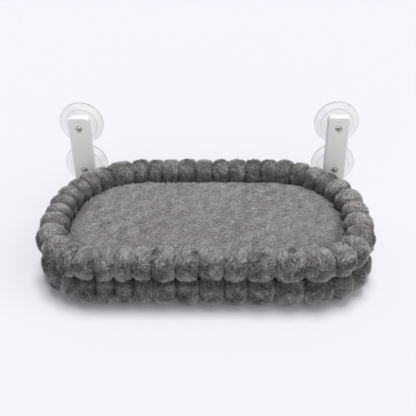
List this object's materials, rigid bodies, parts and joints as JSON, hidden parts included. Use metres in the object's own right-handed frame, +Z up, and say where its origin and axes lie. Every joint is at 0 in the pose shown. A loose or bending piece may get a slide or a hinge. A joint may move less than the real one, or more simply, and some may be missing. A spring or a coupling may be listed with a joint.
{
  "type": "window mounted cat perch",
  "caption": "Plush cat bed with a two-tier bubble bolster on a steel hoop, hinged to upright plastic arms that hold to a window by clear suction cups.",
  "frame": {"origin": "on the floor plane under the centre of the object's bounding box, as it stands in the picture", "axes": "+X along the bed to its right-hand end seen from the room, +Y towards the window that the cups hold to, +Z up"},
  "size_m": [0.578, 0.346, 0.2143],
  "materials": {
    "plush": "short dense grey plush",
    "foam": "open-cell foam",
    "lining": "dark woven polyester",
    "tube": "grey powder coat",
    "grey_plastic": "matt moulded nylon",
    "zinc": "bright zinc plate",
    "webbing": "woven nylon webbing",
    "white_plastic": "satin white ABS",
    "clear_pvc": "clear soft PVC",
    "brass": "turned brass",
    "bracket_steel": "pressed steel, satin"
  },
  "bodies": {
    "left_arm": {"left_arm_casing": "white_plastic", "left_back_plate": "white_plastic", "left_upper_cup": "clear_pvc", "left_lower_cup": "clear_pvc", "left_cup_inserts": "brass", "left_arm_screws": "zinc", "left_washers": "zinc", "left_locating_pegs": "zinc", "left_hinge_bracket": "bracket_steel", "left_bracket_screws": "zinc", "left_hinge_pin": "zinc", "left_pin_clip": "bracket_steel"},
    "bed": {"upper_bolster": "plush", "lower_bolster": "plush", "sleeping_pad": "plush", "pad_foam": "foam", "sling_panel": "lining", "base_panel": "lining", "hoop_tube": "tube", "rear_crossbar": "tube", "crossbar_fittings": "grey_plastic", "frame_screws": "zinc", "webbing_straps": "webbing", "left_knuckle": "grey_plastic", "right_knuckle": "grey_plastic"},
    "right_arm": {"right_arm_casing": "white_plastic", "right_back_plate": "white_plastic", "right_upper_cup": "clear_pvc", "right_lower_cup": "clear_pvc", "right_cup_inserts": "brass", "right_arm_screws": "zinc", "right_washers": "zinc", "right_locating_pegs": "zinc", "right_hinge_bracket": "bracket_steel", "right_bracket_screws": "zinc", "right_hinge_pin": "zinc", "right_pin_clip": "bracket_steel"}
  },
  "joints": [
    {"name": "bed_fold", "type": "hinge", "parent": "left_arm", "child": "bed", "pos_m": [-0.2465, 0.1132, 0.05205], "axis": [-1, 0, 0], "range_deg": [0, 90], "deforming": ["upper_bolster"]},
    {"name": "right_arm_hinge", "type": "hinge", "parent": "bed", "child": "right_arm", "pos_m": [0.2465, 0.1132, 0.05205], "axis": [-1, 0, 0], "range_deg": [-90, 0], "deforming": ["upper_bolster"]}
  ],
  "couplings": [
    {"joint": "right_arm_hinge", "follows": "bed_fold", "ratio": -1}
  ]
}
